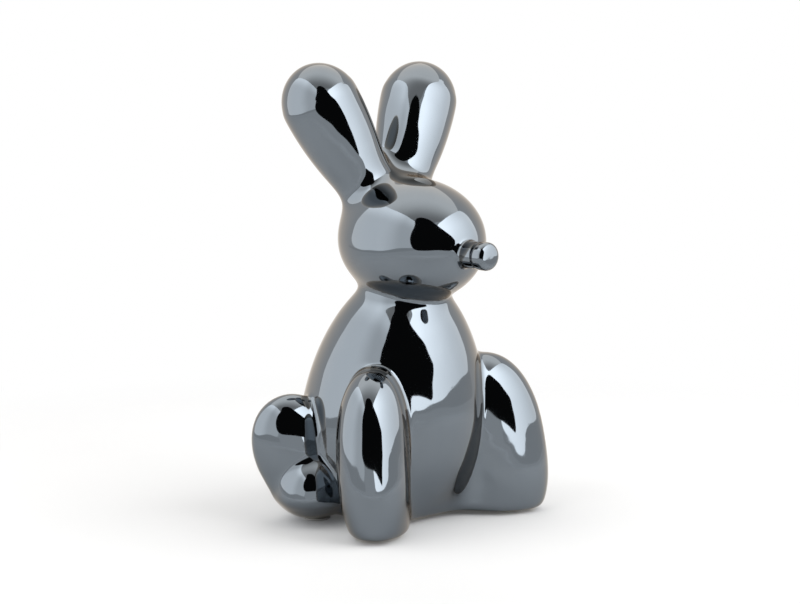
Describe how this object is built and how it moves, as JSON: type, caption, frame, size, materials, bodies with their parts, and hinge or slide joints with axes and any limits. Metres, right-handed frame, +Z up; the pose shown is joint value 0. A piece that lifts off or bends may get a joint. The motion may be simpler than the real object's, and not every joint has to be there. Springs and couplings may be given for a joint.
{
  "type": "seated bunny ornament",
  "caption": "Seated balloon-style bunny ornament of hollow glazed ceramic bubbles: egg-shaped torso, round head, upright ears, knotted nose, legs and tail, on felt pads.",
  "frame": {"origin": "on the ground, in the bunny's mirror plane, midway between the tip of the nose and the back of the tail", "axes": "+Z up, -Y the way the bunny faces, +X the bunny's own left"},
  "size_m": [0.1546, 0.1478, 0.2455],
  "materials": {
    "gunmetal_glaze": "mirror-bright metallic gunmetal glaze over white stoneware, cool grey, unglazed on the soles",
    "felt": "pressed pale grey wool felt, matt, short fibres"
  },
  "bodies": {
    "root": {"torso_shell": "gunmetal_glaze", "head_shell": "gunmetal_glaze", "ear_left": "gunmetal_glaze", "ear_right": "gunmetal_glaze", "nose_knot": "gunmetal_glaze", "foreleg_left": "gunmetal_glaze", "foreleg_right": "gunmetal_glaze", "haunch_left": "gunmetal_glaze", "haunch_right": "gunmetal_glaze", "hind_foot_left": "gunmetal_glaze", "hind_foot_right": "gunmetal_glaze", "tail": "gunmetal_glaze", "felt_pad_front_left": "felt", "felt_pad_front_right": "felt", "felt_pad_back_left": "felt", "felt_pad_back_right": "felt"}
  },
  "joints": []
}
